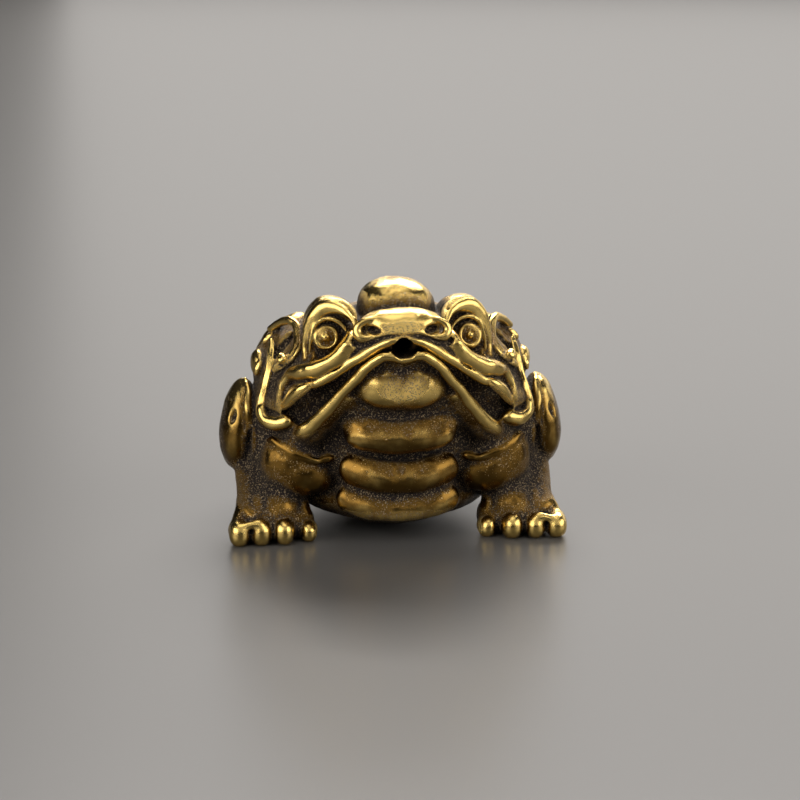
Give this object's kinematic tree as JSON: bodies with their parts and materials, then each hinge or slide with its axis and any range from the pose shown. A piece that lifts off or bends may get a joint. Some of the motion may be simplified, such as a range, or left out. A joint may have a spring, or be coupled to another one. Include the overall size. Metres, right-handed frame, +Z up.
{
  "type": "money toad figure",
  "caption": "Squat big-mouthed toad figure in aged brass, with a domed crown, ridged lips, belly folds and warty skin, standing on spread forefeet and a single hind leg.",
  "frame": {"origin": "on the floor, under the middle of the figure's box", "axes": "+Z up, the toad looks along -Y, +X is to the right of someone facing it"},
  "size_m": [0.0338, 0.0335, 0.025],
  "materials": {
    "aged_brass": "cast, rubbed bright on the high places and near-black with patina in the hollows"
  },
  "bodies": {
    "root": {"toad": "aged_brass"}
  },
  "joints": []
}
